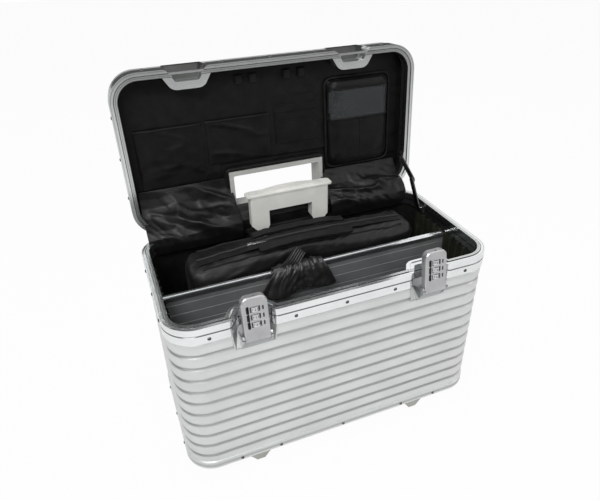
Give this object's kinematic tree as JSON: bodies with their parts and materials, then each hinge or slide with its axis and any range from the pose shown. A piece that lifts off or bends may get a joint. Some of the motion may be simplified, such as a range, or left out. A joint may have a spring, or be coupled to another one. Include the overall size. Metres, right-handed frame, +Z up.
{
  "type": "pilot case",
  "caption": "Ribbed metal pilot case with hinged lid, riveted rims, dial latches, lid stay, divider, organiser lid, feet, wheels and pull-out handle.",
  "frame": {"origin": "bottom centre of the open case's box, on the floor that the feet and wheels stand on", "axes": "+X along the case to its right end as seen from the front, +Y from the front to the hinge side, +Z up"},
  "size_m": [0.475, 0.3289, 0.5258],
  "materials": {
    "ribbed_aluminium": "satin",
    "frame_aluminium": "satin",
    "steel": "satin",
    "grey_plastic": "matte",
    "latch_metal": "satin",
    "black_lining": "matte",
    "black_plastic": "matte",
    "divider_aluminium": "satin",
    "padded_fabric": "matte",
    "clear_sheet": "glossy",
    "dial_plastic": "glossy",
    "tyre": "matte"
  },
  "bodies": {
    "case_body": {"body_shell": "ribbed_aluminium", "body_base": "ribbed_aluminium", "body_rivets": "steel", "front_feet": "grey_plastic", "body_frame": "frame_aluminium", "body_wells": "grey_plastic", "body_lining": "black_lining", "end_racks": "black_plastic", "hinge_body_leaf": "steel", "hinge_pin": "steel", "stay_body_bracket": "steel", "latch_brackets": "grey_plastic", "wheel_housings": "grey_plastic", "wheel_axles": "steel", "handle_outer_tubes": "frame_aluminium", "handle_collar": "black_plastic", "handle_base": "black_plastic"},
    "lid": {"lid_shell": "ribbed_aluminium", "lid_frame": "frame_aluminium", "lid_rivets": "steel", "lid_wells": "grey_plastic", "lid_keepers": "frame_aluminium", "lid_lining": "black_lining", "organiser_panel": "black_lining", "lid_pockets": "padded_fabric", "card_pocket": "padded_fabric", "padded_pouch": "padded_fabric", "pouch_window": "clear_sheet", "pen_loops": "padded_fabric", "hinge_lid_leaf": "steel", "stay_lid_bracket": "steel", "opening_frame": "grey_plastic", "opening_surround": "black_lining", "carry_handle_mounts": "black_plastic"},
    "latch_left": {"latch_plate_left": "latch_metal", "dial_shaft_left": "steel"},
    "number_dial_left_1": {"dial_left_1": "dial_plastic"},
    "number_dial_left_2": {"dial_left_2": "dial_plastic"},
    "number_dial_left_3": {"dial_left_3": "dial_plastic"},
    "wheel_left": {"wheel_hub_left": "black_plastic", "wheel_tyre_left": "tyre"},
    "latch_right": {"latch_plate_right": "latch_metal", "dial_shaft_right": "steel"},
    "number_dial_right_1": {"dial_right_1": "dial_plastic"},
    "number_dial_right_2": {"dial_right_2": "dial_plastic"},
    "number_dial_right_3": {"dial_right_3": "dial_plastic"},
    "wheel_right": {"wheel_hub_right": "black_plastic", "wheel_tyre_right": "tyre"},
    "stay_upper": {"stay_upper_link": "steel"},
    "stay_lower": {"stay_lower_link": "steel"},
    "divider": {"divider_panel": "divider_aluminium", "divider_rail": "divider_aluminium", "sleeve_strap": "padded_fabric"},
    "bag": {"notebook_sleeve": "padded_fabric"},
    "handle_stage": {"handle_mid_tubes": "frame_aluminium"},
    "handle_grip": {"handle_inner_tubes": "frame_aluminium", "pull_grip": "grey_plastic"},
    "release_button": {"grip_button": "grey_plastic"},
    "carrying_handle": {"carry_handle": "black_plastic"}
  },
  "joints": [
    {"name": "lid_hinge", "type": "hinge", "parent": "case_body", "child": "lid", "pos_m": [0, 0.09155, 0.285], "axis": [-1, 0, 0], "range_deg": [-94, 0]},
    {"name": "stay_upper_pivot", "type": "hinge", "parent": "lid", "child": "stay_upper", "pos_m": [0.2224, 0.1013, 0.33845], "axis": [-1, 0, 0], "range_deg": [0, 136.41]},
    {"name": "stay_knee", "type": "hinge", "parent": "stay_upper", "child": "stay_lower", "pos_m": [0.22, 0.05798, 0.31389], "axis": [-1, 0, 0], "range_deg": [-131.86, 0]},
    {"name": "latch_left_hinge", "type": "hinge", "parent": "case_body", "child": "latch_left", "pos_m": [-0.1274, -0.15946, 0.259], "axis": [1, 0, 0], "range_deg": [-8, 81]},
    {"name": "dial_left_1_turn", "type": "hinge", "parent": "latch_left", "child": "number_dial_left_1", "pos_m": [-0.1274, -0.15793, 0.27951], "axis": [0, 0.1564, 0.9877], "continuous": true},
    {"name": "dial_left_2_turn", "type": "hinge", "parent": "latch_left", "child": "number_dial_left_2", "pos_m": [-0.1274, -0.15628, 0.28988], "axis": [0, 0.1564, 0.9877], "continuous": true},
    {"name": "dial_left_3_turn", "type": "hinge", "parent": "latch_left", "child": "number_dial_left_3", "pos_m": [-0.1274, -0.15464, 0.30025], "axis": [0, 0.1564, 0.9877], "continuous": true},
    {"name": "wheel_left_turn", "type": "hinge", "parent": "case_body", "child": "wheel_left", "pos_m": [-0.184, 0.07354, 0.023], "axis": [1, 0, 0], "continuous": true},
    {"name": "latch_right_hinge", "type": "hinge", "parent": "case_body", "child": "latch_right", "pos_m": [0.1274, -0.15946, 0.259], "axis": [1, 0, 0], "range_deg": [-8, 81]},
    {"name": "dial_right_1_turn", "type": "hinge", "parent": "latch_right", "child": "number_dial_right_1", "pos_m": [0.1274, -0.15793, 0.27951], "axis": [0, 0.1564, 0.9877], "continuous": true},
    {"name": "dial_right_2_turn", "type": "hinge", "parent": "latch_right", "child": "number_dial_right_2", "pos_m": [0.1274, -0.15628, 0.28988], "axis": [0, 0.1564, 0.9877], "continuous": true},
    {"name": "dial_right_3_turn", "type": "hinge", "parent": "latch_right", "child": "number_dial_right_3", "pos_m": [0.1274, -0.15464, 0.30025], "axis": [0, 0.1564, 0.9877], "continuous": true},
    {"name": "wheel_right_turn", "type": "hinge", "parent": "case_body", "child": "wheel_right", "pos_m": [0.184, 0.07354, 0.023], "axis": [1, 0, 0], "continuous": true},
    {"name": "carrying_handle_swing", "type": "hinge", "parent": "lid", "child": "carrying_handle", "pos_m": [0, 0.15914, 0.41305], "axis": [1, 0, 0], "range_deg": [0, 90]},
    {"name": "divider_lift", "type": "slide", "parent": "case_body", "child": "divider", "axis": [0, 0, 1], "range_m": [0, 0.27]},
    {"name": "bag_lift", "type": "slide", "parent": "case_body", "child": "bag", "axis": [0, 0, 1], "range_m": [0, 0.27]},
    {"name": "handle_stage_slide", "type": "slide", "parent": "case_body", "child": "handle_stage", "axis": [0, 0, 1], "range_m": [0, 0.17]},
    {"name": "handle_grip_slide", "type": "slide", "parent": "handle_stage", "child": "handle_grip", "axis": [0, 0, 1], "range_m": [0, 0.18]},
    {"name": "release_button_press", "type": "slide", "parent": "handle_grip", "child": "release_button", "axis": [0, 0, 1], "range_m": [-0.0025, 0], "stiffness_N_per_m": 200}
  ],
  "couplings": [
    {"joint": "stay_upper_pivot", "follows": "lid_hinge", "ratio": -1.448},
    {"joint": "stay_knee", "follows": "lid_hinge", "ratio": 1.3995}
  ]
}
